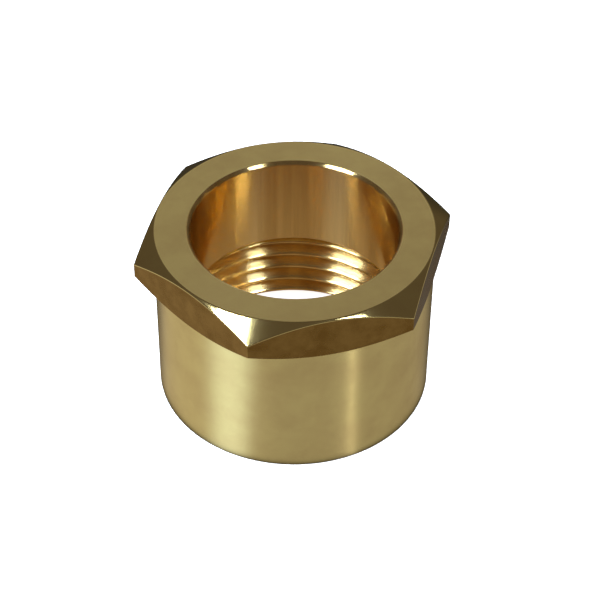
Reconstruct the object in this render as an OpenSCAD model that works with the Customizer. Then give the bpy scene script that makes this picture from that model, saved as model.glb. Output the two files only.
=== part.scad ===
// Union nut of turned brass: a short hexagon head on a long round skirt, bored right through.
// The plain bore of the head lets a tail piece through, and the skirt screws onto a port.
// Sizes are in millimetres. The nut stands on the skirt's open end, with +Z up its axis.

/* [Body] */
// Height of the whole nut
body_h = 26.2; // [24:0.1:32]
// Height of the round skirt, up to where the hexagon begins
skirt_h = 20.2; // [18.5:0.1:21]
// Outer diameter of the round skirt
skirt_d = 37.9; // [37:0.1:37.9]
// Chamfer around the foot of the skirt
foot_chamfer = 0.2; // [0.1:0.05:0.6]

/* [Hexagon] */
// Width of the hexagon across its flats
across_flats = 38; // [38:0.1:41]
// Diameter of the flat top face, where the turned crown begins
face_d = 37.6; // [35:0.1:37.8]
// Slope of the crown that takes off the upper corners, in degrees
crown_angle = 34; // [20:1:38]
// Slope of the cut that takes off the lower corners, in degrees
under_angle = 32; // [20:1:38]

/* [Plain bore] */
// Diameter of the plain bore through the head
bore_d = 28; // [24:0.1:29]
// Depth of the plain bore, from the top face to its inner shoulder
bore_depth = 13.8; // [8:0.1:16]
// Chamfer around the upper mouth of the plain bore
mouth_chamfer = 0.4; // [0.2:0.1:1]
// Chamfer around the lower edge of the plain bore
shoulder_chamfer = 0.2; // [0.1:0.05:0.4]

/* [Thread] */
// Major diameter of the thread, at its roots
thread_major_d = 33.249; // [33.1:0.001:33.4]
// Minor diameter of the thread, at its crests
thread_minor_d = 30.291; // [30.2:0.001:30.4]
// Pitch of the thread
thread_pitch = 2.309; // [2.2:0.001:2.4]
// Angle between the two flanks of the thread, in degrees
flank_angle = 55; // [50:1:60]
// Height of the lowest root above the skirt's open end
first_root_z = 2.66; // [2.5:0.01:2.9]
// Diameter of the countersink at the thread's mouth
countersink_d = 33.6; // [33.5:0.1:34.6]

/* [Hidden] */
$fn = 96;
brass = "#B09A62";
// A turned cut passes the surface that it opens by this much
past = 1;
// A ring's crests and roots are flat over this share of the pitch
flat_share = 1 / 6;

across_corners = across_flats / cos(30);
corner_reach = across_corners / 2 + past;
shoulder_z = body_h - bore_depth;
skirt_r = skirt_d / 2;
face_r = face_d / 2;
bore_r = bore_d / 2;
major_r = thread_major_d / 2;
minor_r = thread_minor_d / 2;
root_half = thread_pitch * flat_share / 2;
mouth_half = root_half + (major_r - minor_r) * tan(flank_angle / 2);
// The thread is cut as closed rings, as many as fit, and a wider one under the shoulder lets it run out
ring_count = floor((shoulder_z - root_half - first_root_z) / thread_pitch);
runout_z = first_root_z + ring_count * thread_pitch;

// Everything below the crown, a cone that takes off the upper corners
module below_crown() {
    rotate_extrude()
        polygon([
            [0, 0],
            [corner_reach, 0],
            [corner_reach, body_h - (corner_reach - face_r) * tan(crown_angle)],
            [face_r, body_h],
            [0, body_h]
        ]);
}

// Everything above the undercut, a cone that takes off the lower corners
module above_undercut() {
    rotate_extrude()
        polygon([
            [0, skirt_h],
            [skirt_r, skirt_h],
            [corner_reach, skirt_h + (corner_reach - skirt_r) * tan(under_angle)],
            [corner_reach, body_h + corner_reach],
            [0, body_h + corner_reach]
        ]);
}

module head() {
    intersection() {
        translate([0, 0, skirt_h])
            cylinder(h = body_h - skirt_h, d = across_corners, $fn = 6);
        below_crown();
        above_undercut();
    }
}

// The skirt goes up into the head, so the two are one solid
module skirt() {
    rotate_extrude()
        polygon([
            [0, 0],
            [skirt_r - foot_chamfer, 0],
            [skirt_r, foot_chamfer],
            [skirt_r, skirt_h],
            [skirt_r - foot_chamfer, skirt_h + foot_chamfer],
            [0, skirt_h + foot_chamfer]
        ]);
}

module plain_bore() {
    rotate_extrude()
        polygon([
            [0, shoulder_z - past],
            [bore_r + shoulder_chamfer + past, shoulder_z - past],
            [bore_r + shoulder_chamfer, shoulder_z],
            [bore_r, shoulder_z + shoulder_chamfer],
            [bore_r, body_h - mouth_chamfer],
            [bore_r + mouth_chamfer + past, body_h + past],
            [0, body_h + past]
        ]);
}

// One thread ring, cut from the bore's middle out to its root at the height z
module thread_ring(z) {
    rotate_extrude()
        polygon([
            [0, z - mouth_half],
            [minor_r, z - mouth_half],
            [major_r, z - root_half],
            [major_r, z + root_half],
            [minor_r, z + mouth_half],
            [0, z + mouth_half]
        ]);
}

// The last ring is open up to the shoulder
module thread_runout() {
    rotate_extrude()
        polygon([
            [0, runout_z - mouth_half],
            [minor_r, runout_z - mouth_half],
            [major_r, runout_z - root_half],
            [major_r, shoulder_z],
            [0, shoulder_z]
        ]);
}

module countersink() {
    rotate_extrude()
        polygon([
            [0, -past],
            [countersink_d / 2 + past, -past],
            [minor_r - past, countersink_d / 2 - minor_r + past],
            [0, countersink_d / 2 - minor_r + past]
        ]);
}

module threaded_socket() {
    translate([0, 0, -past])
        cylinder(h = shoulder_z + past, r = minor_r);
    for (i = [0 : ring_count - 1])
        thread_ring(first_root_z + i * thread_pitch);
    thread_runout();
    countersink();
}

module union_nut() {
    color(brass)
        difference() {
            union() {
                skirt();
                head();
            }
            plain_bore();
            threaded_socket();
        }
}

union_nut();
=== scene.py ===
import math

import bmesh
import bpy
from mathutils import Matrix, Vector


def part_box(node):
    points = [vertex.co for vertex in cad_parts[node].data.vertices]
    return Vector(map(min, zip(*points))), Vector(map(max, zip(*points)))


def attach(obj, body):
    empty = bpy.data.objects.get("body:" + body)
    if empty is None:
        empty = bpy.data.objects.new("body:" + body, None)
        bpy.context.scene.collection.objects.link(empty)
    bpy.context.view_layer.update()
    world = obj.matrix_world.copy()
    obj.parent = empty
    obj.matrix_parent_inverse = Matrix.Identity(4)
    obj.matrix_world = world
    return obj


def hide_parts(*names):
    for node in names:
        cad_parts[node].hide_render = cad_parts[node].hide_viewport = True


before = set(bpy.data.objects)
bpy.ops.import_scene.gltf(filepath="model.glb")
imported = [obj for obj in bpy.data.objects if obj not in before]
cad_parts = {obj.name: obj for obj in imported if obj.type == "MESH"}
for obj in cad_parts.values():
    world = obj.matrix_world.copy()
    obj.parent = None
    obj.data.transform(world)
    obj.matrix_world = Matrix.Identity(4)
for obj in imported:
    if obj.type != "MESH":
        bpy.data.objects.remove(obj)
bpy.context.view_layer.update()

# The box of the solid model, measured before anything is added to it
NODE_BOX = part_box("union_nut")

MM = 0.001
# Facets round the axis, a multiple of six, so that each corner of the hexagon falls on one of their lines
FACETS = 192
# Points closer than this are one point, and a point this near a cutting plane lies on it
MERGE = 0.002 * MM
ON_PLANE = MERGE / 10
# Faces that turn by more than this meet in an edge, and the others are facets of one round wall
SHARP = math.radians(15)
# A face is level when the upright share of its normal is over the first value, and upright below the second
LEVEL, UPRIGHT = 0.999, 0.01
# The round head of the blank is this much larger than the corners that are cut from it
SPARE = MM
# Width of the flat ring that joins the threaded hole to the rest of the nut
RIM = 0.1 * MM
# Steps across a rounded edge, across a crest of the thread and down a flank
EDGE_STEPS, CREST_STEPS, FLANK_STEPS = 3, 6, 5
# Nearly all of a noise lies between these two values
NOISE_RANGE = (0.35, 0.65)
# Brass stays golden where it is seen at a slant
SLANT_TINT = (0.95, 0.85, 0.7, 1)

# Directions in the studio are right, away and up, as the camera sees them. Turns are degrees to the right.
# Each softbox has its direction from the nut, its size in metres, and its tilt about the line to the nut
LAMP_DISTANCE = 0.6
KEY_TOWARD, KEY_WIDTH, KEY_HEIGHT, KEY_TILT = (-0.528, -0.351, 0.773), 0.206, 0.215, 25
STRIP_TOWARD, STRIP_WIDTH, STRIP_HEIGHT, STRIP_TILT = (0.46, -0.397, 0.794), 0.165, 0.1, 65
# The table is brightest at this turn, apart from two bright patches. Each patch has the turn of its middle,
# how far it reaches to each side, and how far past that it has faded out
TABLE_LEFT_TURN = -85
SHEEN_PATCH = (-56, 6, 18)
CARD_PATCH = (49.5, 1.2, 2)
# Shares of the way straight back at which the shadow behind the nut begins and is full
SHADOW_FADE = (0.5, 0.75)
# The middle of the glow behind the nut, and the cosine of the angle from there at which it has faded out
GLOW_TOWARD, GLOW_EDGE = (0, 0.91, 0.42), 0.86
# The table gives way to the room between this much below the horizon and as much above it
HORIZON = 0.08
# The light table: its radius, its wall's height, the bend between them, and its own light, just under white
TABLE_R, WALL_H, TABLE_BEND, TABLE_LIGHT = 2.0, 2.0, 0.7, 0.93
TABLE_FACETS, BEND_STEPS = 64, 12
# Half the width of the hole that the table's sheet is spun round, before it is closed
TABLE_HOLE = MM
# The table lies this much below the nut's foot, so that the two don't share a plane
TABLE_GAP = 0.01 * MM
# Past the foot the nut's shade is full up to the first distance, and has faded out at the second
SHADE_FADE = (0.2 * MM, 0.9 * MM)
# In millimetres, as the lens is
SENSOR_WIDTH = 36

bl_info = {
    "name": "Pump Union Nut",
    "version": (1, 0, 0),
    "blender": (4, 5, 0),
    "location": "View3D > Sidebar > Union Nut",
    "description": "Builds a turned brass union nut with its thread, and the studio it stands in",
    "category": "Add Mesh",
}


def linear(code):
    """Turns an sRGB hex colour, such as #E7CE86, to the linear values that a render works in."""
    channels = [int(code[i:i + 2], 16) / 255 for i in (1, 3, 5)]
    return tuple(c / 12.92 if c <= 0.04045 else ((c + 0.055) / 1.055) ** 2.4 for c in channels)


def length(name, description, millimetres):
    """A size in metres, given in millimetres."""
    return bpy.props.FloatProperty(
        name=name, description=description, default=millimetres * MM,
        min=0.0, precision=5, subtype="DISTANCE", unit="LENGTH")


def angle(name, description, degrees):
    """An angle in radians, given in degrees."""
    return bpy.props.FloatProperty(
        name=name, description=description, default=math.radians(degrees),
        subtype="ANGLE", unit="ROTATION")


def colour(name, description, code):
    """A colour, given as an sRGB hex code."""
    return bpy.props.FloatVectorProperty(
        name=name, description=description, default=linear(code),
        min=0.0, max=1.0, size=3, subtype="COLOR")


class NutSizes(bpy.types.PropertyGroup):
    """The sizes of the nut, as the solid model has them, and the rounding of its edges."""
    height: length("Height", "Height of the whole nut", (NODE_BOX[1].z - NODE_BOX[0].z) / MM)
    across_flats: length("Across Flats", "Width of the hexagon across its flats",
                         (NODE_BOX[1].y - NODE_BOX[0].y) / MM)
    face_d: length("Face Diameter", "Diameter of the flat top face", 37.6)
    crown_angle: angle("Crown Angle", "Slope of the crown over the upper corners", 34)
    under_angle: angle("Undercut Angle", "Slope of the cut under the lower corners", 32)
    skirt_d: length("Skirt Diameter", "Outer diameter of the round skirt", 37.9)
    skirt_h: length("Skirt Height", "Height of the skirt, up to the hexagon", 20.2)
    foot_chamfer: length("Foot Chamfer", "Chamfer around the foot of the skirt", 0.2)
    bore_d: length("Bore Diameter", "Diameter of the plain bore", 28)
    bore_depth: length("Bore Depth", "Depth of the plain bore, down to its shoulder", 13.8)
    mouth_chamfer: length("Mouth Chamfer", "Chamfer around the bore's upper mouth", 0.4)
    shoulder_chamfer: length("Lip Chamfer", "Chamfer around the bore's lower edge", 0.2)
    edge: length("Edge Rounding", "Width left on each side of an edge when its burr was taken off", 0.11)
    under_edge: length("Lower Edge Rounding", "The same on the edges under the flats, near the skirt", 0.04)
    thread_major_d: length("Thread Major", "Diameter of the thread at its roots", 33.249)
    thread_minor_d: length("Thread Minor", "Diameter of the thread at its crests", 30.291)
    thread_pitch: length("Thread Pitch", "Pitch of the thread", 2.309)
    flank_angle: angle("Flank Angle", "Angle between the two flanks of the thread", 55)
    first_crest: length("First Crest", "Height of a crest at the hexagon's first corner", 3.338)
    runout_h: length("Run-out Height", "Height of the open groove under the shoulder", 0.696)
    countersink_d: length("Countersink", "Diameter of the countersink at the thread's mouth", 33.6)


class NutFinish(bpy.types.PropertyGroup):
    """The colours of the brass. The bore's hold painted bounce light and shade, and the flats' partly a
    painted dark reflection.
    """
    cut: colour("Cut Brass", "Brass where the tool has just cut it", "#E7CE86")
    dulled: colour("Dulled Brass", "Brass that the air has dulled a little since", "#DFC37F")
    # Painted light: the inside brass is tinted warmer than the outside for the light its walls bounce to each
    # other, and its dulled tone darker for the bore's shade
    bored_and_warm_bounce: colour("Bored Brass", "The warmer brass inside the nut", "#F0D08C")
    bored_dulled_and_shade: colour("Dulled Bore", "Warm brass that the cutting oil has stained", "#D3AE69")
    # Partly painted reflection: the flats' dark browns stand in part for the dark surroundings that the flats
    # mirror
    skin: colour("Bar Skin", "The brown skin of the drawn bar, which is left on the flats", "#957139")
    dark_skin_and_reflection: colour("Dark Bar Skin", "Darker patches of the bar's skin", "#7E5B27")


class StudioSettings(bpy.types.PropertyGroup):
    """The camera and the light."""
    azimuth: angle("Camera Azimuth", "Turn of the camera round the nut", -14.81)
    elevation: angle("Camera Elevation", "Height of the camera over the horizon", 41.89)
    roll: angle("Camera Roll", "Tilt of the camera about its own line of sight", 0.615)
    distance: length("Camera Distance", "Distance from the camera to the nut's middle", 257.4)
    aim_right: length("Aim", "How far right of the nut's middle the camera aims", 0.816)
    lens: bpy.props.FloatProperty(
        name="Lens", description="Focal length on a sensor 36 mm wide", default=111.84,
        subtype="DISTANCE_CAMERA")
    key_power: bpy.props.FloatProperty(
        name="Key Softbox", description="Power of the wide softbox at the left", default=4.7, unit="POWER")
    strip_power: bpy.props.FloatProperty(
        name="Strip Softbox", description="Power of the narrow softbox at the right", default=1.5,
        unit="POWER")
    lamp: colour("Lamp Colour", "Colour of both softboxes, daylight beside the warmer walls", "#D6E8FF")
    table: colour("Table", "The table in front of the nut and at its right", "#8C8C8C")
    table_left: colour("Table Left", "The table at the left, under the key softbox", "#A5A5A5")
    sheen: colour("Sheen", "The key softbox's sheen on the table", "#D0E2F9")
    card: colour("Card", "The narrow white card at the right", "#EDF1F8")
    # Painted shadow: the walls' dark patch behind the nut, and the painted shade round its foot
    shadow: colour("Shadow", "The nut's own shadow behind it", "#303030")
    # Painted bounce light: the glow of the table inside the nut, as the brass mirrors it
    inside: colour("Inside", "The table inside the nut, lit by way of the brass", "#A08F7B")
    room: colour("Room", "The dark room above the table", "#48433F")
    glow: colour("Glow", "The pale glow behind the nut", "#939393")
    walls: bpy.props.FloatProperty(
        name="Walls", description="Brightness of the table and the room", default=1.6, min=0.0)


def add_node(tree, kind, links=(), **settings):
    """Adds a node. A setting goes to the socket of that name, or else to the node itself.
    Each link is (input, node, output)."""
    node = tree.nodes.new(kind)
    for name, value in settings.items():
        socket = node.inputs.get(name.replace("_", " "))
        if socket is not None:
            socket.default_value = value
        else:
            setattr(node, name, value)
    for target, source, output in links:
        tree.links.new(source.outputs[output], node.inputs[target])
    return node


def wire(bm, corners):
    """A run of edges through the given points (radius, height) in the plane of the first corner."""
    verts = [bm.verts.new((r, 0, z)) for r, z in corners]
    edges = [bm.edges.new(pair) for pair in zip(verts, verts[1:])]
    return verts, edges


def shoulder_height(size):
    """Height of the inner shoulder, where the plain bore ends and the threaded hole begins."""
    return size.height - size.bore_depth


def turn_blank(bm, size):
    """Turns the section of the blank, with a full round head. It stays open where the thread goes."""
    shoulder_z = shoulder_height(size)
    bore_r, face_r, skirt_r = size.bore_d / 2, size.face_d / 2, size.skirt_d / 2
    head_r = size.across_flats / 2 / math.cos(math.radians(30)) + SPARE
    verts, edges = wire(bm, [
        (size.thread_major_d / 2 - RIM, shoulder_z),
        (bore_r + size.shoulder_chamfer, shoulder_z),
        (bore_r, shoulder_z + size.shoulder_chamfer),
        (bore_r, size.height - size.mouth_chamfer),
        (bore_r + size.mouth_chamfer, size.height),
        (face_r, size.height),
        (head_r, size.height - (head_r - face_r) * math.tan(size.crown_angle)),
        (head_r, size.skirt_h + (head_r - skirt_r) * math.tan(size.under_angle)),
        (skirt_r, size.skirt_h),
        (skirt_r, size.foot_chamfer),
        (skirt_r - size.foot_chamfer, 0),
        (size.countersink_d / 2 + RIM, 0),
    ])
    bmesh.ops.spin(bm, geom=verts + edges, cent=(0, 0, 0), axis=(0, 0, 1), angle=math.tau,
                   steps=FACETS, use_merge=True)


def cut_flats(bm, size):
    """Cuts the six flats off the round head. Two of the corners between them lie on the X axis."""
    for side in range(6):
        turn = math.radians(30 + 60 * side)
        out = Vector((math.cos(turn), math.sin(turn), 0))
        cut = bmesh.ops.bisect_plane(
            bm, geom=bm.verts[:] + bm.edges[:] + bm.faces[:], dist=ON_PLANE,
            plane_co=out * size.across_flats / 2, plane_no=out, clear_outer=True)
        rim = [e for e in cut["geom_cut"] if isinstance(e, bmesh.types.BMEdge)]
        bmesh.ops.edgeloop_fill(bm, edges=rim)


def under_flats(edge, size):
    """Whether an edge lies between a flat and the cut under it."""
    cuts = [f for f in edge.link_faces if f.normal.z < -UPRIGHT and f.calc_center_median().z > size.skirt_h]
    return len(cuts) == 1


def round_edges(bm, size):
    """Rounds every outward edge by a little, and the edges under the flats by less, as they nearly touch the
    skirt. The inner corner under the head stays sharp."""
    bmesh.ops.recalc_face_normals(bm, faces=bm.faces)
    for under, radius in ((False, size.edge), (True, size.under_edge)):
        sharp = [e for e in bm.edges if e.is_manifold and e.is_convex
                 and e.calc_face_angle() > SHARP and under_flats(e, size) == under]
        bmesh.ops.bevel(bm, geom=sharp, offset=radius, offset_type="OFFSET", segments=EDGE_STEPS,
                        profile=0.5, affect="EDGES", clamp_overlap=True, material=-1)


def thread_limit(size, z):
    """The least radius of the threaded hole at a height: the countersink below, the run-out groove above."""
    minor_r, major_r = size.thread_minor_d / 2, size.thread_major_d / 2
    groove_z = shoulder_height(size) - size.runout_h
    below = max(0.0, groove_z - z) / math.tan(size.flank_angle / 2)
    return max(minor_r, size.countersink_d / 2 - z, major_r - below)


def cut_thread(size):
    """Cuts the thread as one helix: a run of teeth that climbs by a pitch as it is spun once round.
    It is a mesh of its own, as a spin slows down with everything else that a mesh holds."""
    bm = bmesh.new()
    shoulder_z = shoulder_height(size)
    pitch = size.thread_pitch
    half_flank = size.flank_angle / 2
    # The sharp triangle of the thread is trimmed alike at its crests and roots, by a rounding
    triangle = pitch / 2 / math.tan(half_flank)
    trim = (triangle - (size.thread_major_d - size.thread_minor_d) / 2) / 2
    rounding = trim / (2 - math.sqrt(2)) / math.cos(half_flank)
    crest, root = size.thread_minor_d / 2 - trim, size.thread_major_d / 2 + trim
    # The run starts below the foot and ends above the shoulder, and is then cut off at both
    lowest = size.first_crest - 3 * pitch
    halves = 2 * math.ceil((shoulder_z + pitch - lowest) / pitch)
    verts, _ = wire(bm, [(root if i % 2 else crest, lowest + i * pitch / 2) for i in range(halves + 1)])
    bmesh.ops.bevel(bm, geom=verts[1:-1], offset=rounding, offset_type="OFFSET", segments=CREST_STEPS,
                    profile=0.5, affect="VERTICES", clamp_overlap=True, material=-1)
    # Only a flank is longer than a fifth of the pitch
    flanks = [e for e in bm.edges if e.calc_length() > pitch / 5]
    bmesh.ops.subdivide_edges(bm, edges=flanks, cuts=FLANK_STEPS)
    bmesh.ops.spin(bm, geom=bm.verts[:] + bm.edges[:], cent=(0, 0, 0), axis=(0, 0, 1), angle=math.tau,
                   dvec=(0, 0, pitch / FACETS), steps=FACETS)
    bmesh.ops.remove_doubles(bm, verts=bm.verts, dist=MERGE)
    for height, above in ((0, False), (shoulder_z, True)):
        bmesh.ops.bisect_plane(bm, geom=bm.verts[:] + bm.edges[:] + bm.faces[:], dist=ON_PLANE,
                               plane_co=(0, 0, height), plane_no=(0, 0, 1), clear_outer=above,
                               clear_inner=not above)
    for v in bm.verts:
        radius, least = v.co.xy.length, thread_limit(size, v.co.z)
        if radius < least:
            v.co.xy *= least / radius
    return bm


def join(bm, part):
    """Adds one mesh to another."""
    mesh = bpy.data.meshes.new("part")
    part.to_mesh(mesh)
    part.free()
    bm.from_mesh(mesh)
    bpy.data.meshes.remove(mesh)


def close_rims(bm, height):
    """Joins the two open rims that lie at this height."""
    rims = [e for e in bm.edges if e.is_boundary and all(abs(v.co.z - height) < MERGE for v in e.verts)]
    bmesh.ops.bridge_loops(bm, edges=rims)


def finish_of(face, size):
    """Which of the finishes a face has, by where it lies and which way it looks."""
    centre = face.calc_center_median()
    upward = abs(face.normal.z)
    if upward > LEVEL:
        return "Faced brass"
    if face.normal.xy.dot(centre.xy) < 0:
        return "Bored brass with painted bounce light" if centre.z > shoulder_height(size) else "Tapped brass with painted bounce light"
    if upward > UPRIGHT:
        return "Turned brass cone"
    return "Turned brass" if centre.xy.length < size.skirt_d / 2 + 10 * MERGE else "Drawn brass bar with painted dark reflection"


def new_tree(name):
    """A material with an empty node tree."""
    material = bpy.data.materials.new(name)
    material.use_nodes = True
    material.node_tree.nodes.clear()
    return material, material.node_tree


def stained(tree, place, clean, dull, patch, upright=1.0):
    """A brass that has dulled in soft patches of the given width, and the noise that lays them out.
    Upright is a patch's width as a share of its height."""
    drawn_out = add_node(tree, "ShaderNodeMapping", [("Vector", place, "Object")], Scale=(1, 1, upright))
    patches = add_node(tree, "ShaderNodeTexNoise", [("Vector", drawn_out, "Vector")],
                       Scale=1 / patch, Detail=4.0, Roughness=0.6)
    spread = add_node(tree, "ShaderNodeMapRange", [("Value", patches, "Fac")],
                      From_Min=NOISE_RANGE[0], From_Max=NOISE_RANGE[1])
    tint = add_node(tree, "ShaderNodeMixRGB", [("Fac", spread, "Result")],
                    Color1=(*clean, 1), Color2=(*dull, 1))
    return tint, spread


def cut_brass(name, clean, dull, across_face, roughness, grain, feed, depth, waviness,
              patch=5 * MM, upright=1.0):
    """Brass as a lathe leaves it: fine rings round the axis, which draw each highlight out across them.
    A facing cut's rings lie side by side from the middle outwards, and a turned wall's one over another.
    Real rings are about 0.1 mm apart, too fine for a picture, so these are two or three times as coarse."""
    material, tree = new_tree(name)
    place = add_node(tree, "ShaderNodeTexCoord")
    tint, spread = stained(tree, place, clean, dull, patch, upright)
    if across_face:
        flat = add_node(tree, "ShaderNodeVectorMath", [("Vector", place, "Object")], operation="MULTIPLY")
        flat.inputs[1].default_value = (1, 1, 0)
        travel = add_node(tree, "ShaderNodeVectorMath", [("Vector", flat, "Vector")], operation="LENGTH")
        output = "Value"
    else:
        travel = add_node(tree, "ShaderNodeSeparateXYZ", [("Vector", place, "Object")])
        output = "Z"
    rings = add_node(tree, "ShaderNodeTexNoise", [("W", travel, output)], noise_dimensions="1D",
                     Scale=1 / feed, Detail=3.0, Roughness=0.7)
    bump = add_node(tree, "ShaderNodeBump", [("Height", rings, "Fac")], Strength=1.0, Distance=depth)
    # The tool's chatter leaves faint upright bands on a turned wall, some 1.5 mm apart
    along = add_node(tree, "ShaderNodeMapping", [("Vector", place, "Object")], Scale=(1, 1, 0.02))
    bands = add_node(tree, "ShaderNodeTexNoise", [("Vector", along, "Vector")],
                     Scale=1 / (1.5 * MM), Detail=2.0, Roughness=0.6)
    chatter = add_node(tree, "ShaderNodeBump", [("Height", bands, "Fac"), ("Normal", bump, "Normal")],
                       Strength=1.0, Distance=waviness)
    gloss = add_node(tree, "ShaderNodeMapRange", [("Value", spread, "Result")],
                     To_Min=roughness * 0.92, To_Max=roughness * 1.1)
    tangent = add_node(tree, "ShaderNodeTangent", direction_type="RADIAL", axis="Z")
    shader = add_node(tree, "ShaderNodeBsdfPrincipled",
                      [("Base Color", tint, "Color"), ("Roughness", gloss, "Result"),
                       ("Normal", chatter, "Normal"), ("Tangent", tangent, "Tangent")],
                      Metallic=1.0, Specular_Tint=SLANT_TINT, Anisotropic=grain, Anisotropic_Rotation=0.25)
    add_node(tree, "ShaderNodeOutputMaterial", [("Surface", shader, "BSDF")])
    return material


def drawn_brass(name, clean, dull):
    """The flats' brass, brown and smooth, with faint lines along the bar and cloudy patches. The brown is
    partly the drawn bar's own darker surface and partly a painted dark reflection.
    """
    material, tree = new_tree(name)
    place = add_node(tree, "ShaderNodeTexCoord")
    tint, spread = stained(tree, place, clean, dull, 3 * MM)
    # The die's lines run up the whole flat. Real ones are too fine to show, so these are 0.4 mm apart
    along = add_node(tree, "ShaderNodeMapping", [("Vector", place, "Object")], Scale=(1, 1, 0.03))
    lines = add_node(tree, "ShaderNodeTexNoise", [("Vector", along, "Vector")],
                     Scale=1 / (0.4 * MM), Detail=3.0, Roughness=0.6)
    bump = add_node(tree, "ShaderNodeBump", [("Height", lines, "Fac")], Strength=1.0, Distance=0.004 * MM)
    gloss = add_node(tree, "ShaderNodeMapRange", [("Value", spread, "Result")], To_Min=0.2, To_Max=0.3)
    shader = add_node(tree, "ShaderNodeBsdfPrincipled",
                      [("Base Color", tint, "Color"), ("Roughness", gloss, "Result"),
                       ("Normal", bump, "Normal")], Metallic=1.0, Specular_Tint=SLANT_TINT)
    add_node(tree, "ShaderNodeOutputMaterial", [("Surface", shader, "BSDF")])
    return material


def finishes(finish):
    """The six finishes of the one brass, each as its tool left it. The bore's and the thread's colours also
    hold painted bounce light and shade, and the flats' partly a painted dark reflection.
    """
    cut, dulled = tuple(finish.cut), tuple(finish.dulled)
    bored_and_warm_bounce, bored_dulled_and_shade = tuple(finish.bored_and_warm_bounce), tuple(finish.bored_dulled_and_shade)
    return [
        # Fine feed on the outside of the skirt: satin, with tall bright streaks under each lamp
        cut_brass("Turned brass", cut, dulled, across_face=False, roughness=0.2, grain=1.0,
                  feed=0.25 * MM, depth=0.002 * MM, waviness=0.002 * MM),
        # A form tool leaves the cones nearly bright
        cut_brass("Turned brass cone", cut, dulled, across_face=True, roughness=0.13, grain=0.6,
                  feed=0.3 * MM, depth=0.001 * MM, waviness=0.001 * MM),
        # The faced ends are even and satin, with rings round the bore
        cut_brass("Faced brass", cut, dulled, across_face=True, roughness=0.3, grain=0.4,
                  feed=0.3 * MM, depth=0.002 * MM, waviness=0.001 * MM),
        # The boring bar leaves a bright wall, and the oil that ran down it dulled it in upright streaks. Its
        # tint, warmer and darker than the outside, is painted bounce light and shade of the bore
        cut_brass("Bored brass with painted bounce light", bored_and_warm_bounce, bored_dulled_and_shade, across_face=False, roughness=0.22, grain=1.0,
                  feed=0.3 * MM, depth=0.002 * MM, waviness=0.004 * MM, patch=3 * MM, upright=0.03),
        # The thread's flanks carry the marks of the chaser round the hole, in the bore's tint of painted
        # bounce light and shade
        cut_brass("Tapped brass with painted bounce light", bored_and_warm_bounce, bored_dulled_and_shade, across_face=False, roughness=0.24, grain=1.0,
                  feed=0.2 * MM, depth=0.0005 * MM, waviness=0.001 * MM),
        # The flats are brown, cloudy and smooth, with soft reflections: the brown is partly the drawn bar's
        # own surface and partly a painted dark reflection
        drawn_brass("Drawn brass bar with painted dark reflection", tuple(finish.skin), tuple(finish.dark_skin_and_reflection)),
    ]


class NUT_OT_union_nut(bpy.types.Operator):
    """Build the union nut: one solid of turned brass with a cut thread"""
    bl_idname = "nut.union_nut"
    bl_label = "Union Nut"

    def execute(self, context):
        size, finish = context.scene.nut_sizes, context.scene.nut_finish
        bm = bmesh.new()
        turn_blank(bm, size)
        cut_flats(bm, size)
        round_edges(bm, size)
        join(bm, cut_thread(size))
        close_rims(bm, 0)
        close_rims(bm, shoulder_height(size))
        bmesh.ops.recalc_face_normals(bm, faces=bm.faces)
        materials = finishes(finish)
        index = {m.name: i for i, m in enumerate(materials)}
        for face in bm.faces:
            face.smooth = True
            face.material_index = index[finish_of(face, size)]
        open_edges = sum(not e.is_manifold for e in bm.edges)
        if open_edges:
            raise RuntimeError(f"the nut's mesh has {open_edges} open edges")
        mesh = bpy.data.meshes.new("union_nut_brass")
        bm.to_mesh(mesh)
        bm.free()
        for material in materials:
            mesh.materials.append(material)
        nut = bpy.data.objects.new("union_nut_brass", mesh)
        context.scene.collection.objects.link(nut)
        weighted = nut.modifiers.new("Weighted normals", "WEIGHTED_NORMAL")
        weighted.keep_sharp = True
        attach(nut, "root")
        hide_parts("union_nut")
        return {"FINISHED"}


def camera_frame(studio):
    """Turns the camera's own directions (right, away, up) to the nut's. The studio turns with the camera."""
    return Matrix.Rotation(studio.azimuth, 3, "Z")


def softbox(scene, name, studio, toward, width, height, tilt, power):
    """A rectangular lamp that faces the nut, tilted about the line to it."""
    out = Vector(toward).normalized()
    side = Vector((0, 0, 1)).cross(out).normalized()
    axes = camera_frame(studio) @ Matrix((side, out.cross(side), out)).transposed()
    data = bpy.data.lights.new(name, "AREA")
    data.shape, data.size, data.size_y, data.energy = "RECTANGLE", width, height, power
    data.color = studio.lamp
    lamp = bpy.data.objects.new(name, data)
    lamp.matrix_world = (Matrix.Translation(axes @ Vector((0, 0, LAMP_DISTANCE))) @ axes.to_4x4()
                         @ Matrix.Rotation(math.radians(tilt), 4, "Z"))
    scene.collection.objects.link(lamp)


def lay_over(tree, below, where, tint):
    """Lays a colour over what lies below it, as far as the mask says."""
    return add_node(tree, "ShaderNodeMixRGB", [("Fac", where, "Result"), ("Color1", *below)],
                    Color2=(*tint, 1))


def bright_patch(tree, turn, middle, reach, fade):
    """A mask round the nut: full within some degrees of a turn, and gone where it has faded out."""
    off = add_node(tree, "ShaderNodeMath", [(0, turn, "Value")], operation="SUBTRACT")
    off.inputs[1].default_value = math.radians(middle)
    away = add_node(tree, "ShaderNodeMath", [(0, off, "Value")], operation="ABSOLUTE")
    return add_node(tree, "ShaderNodeMapRange", [("Value", away, "Value")], interpolation_type="SMOOTHSTEP",
                    From_Min=math.radians(reach), From_Max=math.radians(reach + fade), To_Min=1.0, To_Max=0.0)


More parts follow.
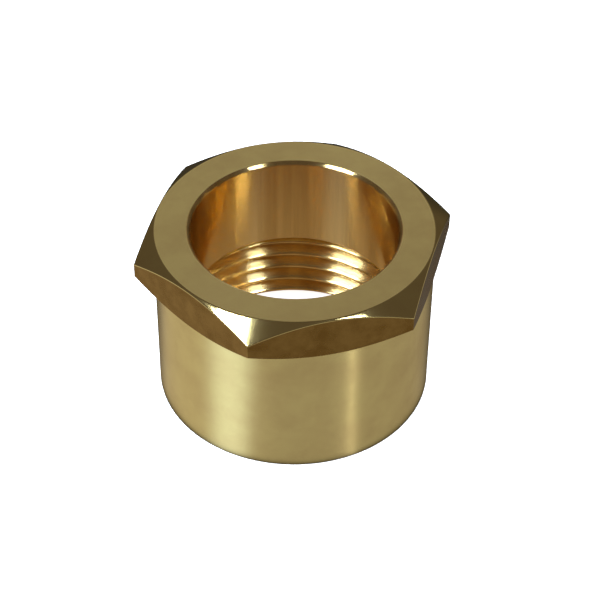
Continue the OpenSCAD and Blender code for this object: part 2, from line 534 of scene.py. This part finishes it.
def studio_walls(studio):
    """What the brass mirrors beside the softboxes. Above the horizon that is a dark room with a pale glow
    behind the nut. Below it is the table: brighter at the left, with the key softbox's sheen on it, a
    narrow white card at the right, and the nut's own shadow straight behind."""
    world = bpy.data.worlds.new("Studio walls")
    world.use_nodes = True
    tree = world.node_tree
    tree.nodes.clear()
    place = add_node(tree, "ShaderNodeTexCoord")
    facing = add_node(tree, "ShaderNodeVectorRotate", [("Vector", place, "Generated")],
                      rotation_type="Z_AXIS", Angle=-studio.azimuth)
    axes = add_node(tree, "ShaderNodeSeparateXYZ", [("Vector", facing, "Vector")])
    near = add_node(tree, "ShaderNodeMath", [(0, axes, "Y")], operation="MULTIPLY")
    near.inputs[1].default_value = -1
    turn = add_node(tree, "ShaderNodeMath", [(0, axes, "X"), (1, near, "Value")], operation="ARCTAN2")
    left = add_node(tree, "ShaderNodeMapRange", [("Value", turn, "Value")], interpolation_type="SMOOTHSTEP",
                    From_Min=math.radians(TABLE_LEFT_TURN), From_Max=0.0, To_Min=1.0, To_Max=0.0)
    table = add_node(tree, "ShaderNodeMixRGB", [("Fac", left, "Result")],
                     Color1=(*studio.table, 1), Color2=(*studio.table_left, 1))
    sheen = lay_over(tree, (table, "Color"), bright_patch(tree, turn, *SHEEN_PATCH), studio.sheen)
    card = lay_over(tree, (sheen, "Color"), bright_patch(tree, turn, *CARD_PATCH), studio.card)
    behind = add_node(tree, "ShaderNodeMapRange", [("Value", axes, "Y")], interpolation_type="SMOOTHSTEP",
                      From_Min=SHADOW_FADE[0], From_Max=SHADOW_FADE[1])
    lower = lay_over(tree, (card, "Color"), behind, studio.shadow)
    glow = add_node(tree, "ShaderNodeVectorMath", [("Vector", facing, "Vector")], operation="DOT_PRODUCT")
    glow.inputs[1].default_value = GLOW_TOWARD
    behind_nut = add_node(tree, "ShaderNodeMapRange", [("Value", glow, "Value")],
                          From_Min=GLOW_EDGE, From_Max=1.0)
    upper = add_node(tree, "ShaderNodeMixRGB", [("Fac", behind_nut, "Result")],
                     Color1=(*studio.room, 1), Color2=(*studio.glow, 1))
    rising = add_node(tree, "ShaderNodeMapRange", [("Value", axes, "Z")], interpolation_type="SMOOTHSTEP",
                      From_Min=-HORIZON, From_Max=HORIZON)
    all_round = add_node(tree, "ShaderNodeMixRGB", [("Fac", rising, "Result"), ("Color1", lower, "Color"),
                                                    ("Color2", upper, "Color")])
    back = add_node(tree, "ShaderNodeBackground", [("Color", all_round, "Color")], Strength=studio.walls)
    add_node(tree, "ShaderNodeOutputWorld", [("Surface", back, "Background")])
    return world


def sweep(scene):
    """A white light table that curves up to a wall all round. It is bright enough to leave no shadow.
    The brass doesn't mirror it: what it mirrors is in the studio's walls."""
    bm = bmesh.new()
    verts, _ = wire(bm, [(TABLE_HOLE, -TABLE_GAP), (TABLE_R, -TABLE_GAP), (TABLE_R, WALL_H)])
    bmesh.ops.bevel(bm, geom=[verts[1]], offset=TABLE_BEND, offset_type="OFFSET", segments=BEND_STEPS,
                    profile=0.5, affect="VERTICES", material=-1)
    bmesh.ops.spin(bm, geom=bm.verts[:] + bm.edges[:], cent=(0, 0, 0), axis=(0, 0, 1), angle=math.tau,
                   steps=TABLE_FACETS, use_merge=True)
    bmesh.ops.contextual_create(bm, geom=[v for v in bm.verts if v.co.xy.length < 2 * TABLE_HOLE])
    bmesh.ops.recalc_face_normals(bm, faces=bm.faces)
    mesh = bpy.data.meshes.new("light_table")
    bm.to_mesh(mesh)
    bm.free()
    sheet, tree = new_tree("Frosted white acrylic")
    shader = add_node(tree, "ShaderNodeBsdfPrincipled", Base_Color=(0.8, 0.8, 0.8, 1), Roughness=0.8,
                      Emission_Color=(1, 1, 1, 1), Emission_Strength=TABLE_LIGHT)
    add_node(tree, "ShaderNodeOutputMaterial", [("Surface", shader, "BSDF")])
    mesh.materials.append(sheet)
    table = bpy.data.objects.new("light_table", mesh)
    scene.collection.objects.link(table)
    table.visible_glossy = False
    table.visible_shadow = False


def shaded_table(scene, studio):
    """The table where the nut shades it, as the brass mirrors it: a glowing disc of painted shade and painted
    bounce light, which only the brass sees.
    Inside the nut it is painted dim and warm for the light that the brass bounces all round, and a narrow
    painted shade lies close round the foot. The camera looks past it."""
    size = scene.nut_sizes
    hole, foot = size.countersink_d / 2, size.skirt_d / 2
    bm = bmesh.new()
    # The disc ends just past where the shade has faded out
    bmesh.ops.create_circle(bm, cap_ends=True, segments=TABLE_FACETS, radius=foot + MM)
    bmesh.ops.translate(bm, verts=bm.verts, vec=(0, 0, -TABLE_GAP / 2))
    mesh = bpy.data.meshes.new("shaded_table")
    bm.to_mesh(mesh)
    bm.free()
    sheet, tree = new_tree("Painted shade and bounce light on the table")
    place = add_node(tree, "ShaderNodeTexCoord")
    radius = add_node(tree, "ShaderNodeVectorMath", [("Vector", place, "Object")], operation="LENGTH")
    under_foot = add_node(tree, "ShaderNodeMapRange", [("Value", radius, "Value")],
                          From_Min=hole, From_Max=foot)
    tint = add_node(tree, "ShaderNodeMixRGB", [("Fac", under_foot, "Result")],
                    Color1=(*studio.inside, 1), Color2=(*studio.shadow, 1))
    # Painted light: the disc glows with painted bounce light inside the nut and painted shade round the foot
    light = add_node(tree, "ShaderNodeEmission", [("Color", tint, "Color")], Strength=1.0)
    clear = add_node(tree, "ShaderNodeBsdfTransparent")
    past_foot = add_node(tree, "ShaderNodeMapRange", [("Value", radius, "Value")],
                         From_Min=foot + SHADE_FADE[0], From_Max=foot + SHADE_FADE[1])
    shade = add_node(tree, "ShaderNodeMixShader", [(0, past_foot, "Result"), (1, light, "Emission"),
                                                   (2, clear, "BSDF")])
    add_node(tree, "ShaderNodeOutputMaterial", [("Surface", shade, "Shader")])
    mesh.materials.append(sheet)
    shaded = bpy.data.objects.new("shaded_table", mesh)
    scene.collection.objects.link(shaded)
    shaded.visible_camera = shaded.visible_diffuse = shaded.visible_shadow = False


def place_camera(scene, studio):
    """Aims the camera at the nut's middle, from the studio's azimuth, elevation and distance."""
    camera = bpy.data.objects.new("Camera", bpy.data.cameras.new("Camera"))
    scene.collection.objects.link(camera)
    frame_of = camera_frame(studio)
    right = frame_of @ Vector((1, 0, 0))
    back = frame_of @ Vector((0, -math.cos(studio.elevation), math.sin(studio.elevation)))
    axes = Matrix((right, back.cross(right), back)).transposed()
    middle = Vector((0, 0, scene.nut_sizes.height / 2))
    camera.matrix_world = (Matrix.Translation(middle + back * studio.distance + right * studio.aim_right)
                           @ (Matrix.Rotation(studio.roll, 3, back) @ axes).to_4x4())
    camera.data.sensor_width = SENSOR_WIDTH
    camera.data.lens = studio.lens
    camera.data.clip_start = studio.distance / 10
    scene.camera = camera


class NUT_OT_studio(bpy.types.Operator):
    """Set up the light table, the softboxes and the camera"""
    bl_idname = "nut.studio"
    bl_label = "Studio"

    def execute(self, context):
        scene, studio = context.scene, context.scene.nut_studio
        sweep(scene)
        softbox(scene, "Key softbox", studio, KEY_TOWARD, KEY_WIDTH, KEY_HEIGHT, KEY_TILT,
                studio.key_power)
        softbox(scene, "Strip softbox", studio, STRIP_TOWARD, STRIP_WIDTH, STRIP_HEIGHT, STRIP_TILT,
                studio.strip_power)
        shaded_table(scene, studio)
        scene.world = studio_walls(studio)
        place_camera(scene, studio)
        scene.view_settings.view_transform = "Standard"
        return {"FINISHED"}


class NUT_PT_panel(bpy.types.Panel):
    """Lists the sizes, the colours and the two steps"""
    bl_label = "Union Nut"
    bl_idname = "NUT_PT_panel"
    bl_space_type = "VIEW_3D"
    bl_region_type = "UI"
    bl_category = "Union Nut"

    def draw(self, context):
        for title, group in (("Sizes", context.scene.nut_sizes), ("Brass", context.scene.nut_finish),
                             ("Studio", context.scene.nut_studio)):
            box = self.layout.box()
            box.label(text=title)
            for name in group.bl_rna.properties.keys():
                if name not in ("rna_type", "name"):
                    box.prop(group, name)
        self.layout.operator(NUT_OT_union_nut.bl_idname)
        self.layout.operator(NUT_OT_studio.bl_idname)


CLASSES = (NutSizes, NutFinish, StudioSettings, NUT_OT_union_nut, NUT_OT_studio, NUT_PT_panel)


def register():
    for cls in CLASSES:
        bpy.utils.register_class(cls)
    bpy.types.Scene.nut_sizes = bpy.props.PointerProperty(type=NutSizes)
    bpy.types.Scene.nut_finish = bpy.props.PointerProperty(type=NutFinish)
    bpy.types.Scene.nut_studio = bpy.props.PointerProperty(type=StudioSettings)


def unregister():
    del bpy.types.Scene.nut_studio, bpy.types.Scene.nut_finish, bpy.types.Scene.nut_sizes
    for cls in reversed(CLASSES):
        bpy.utils.unregister_class(cls)


def main():
    register()
    bpy.ops.nut.union_nut()
    bpy.ops.nut.studio()


if __name__ == "__main__":
    main()
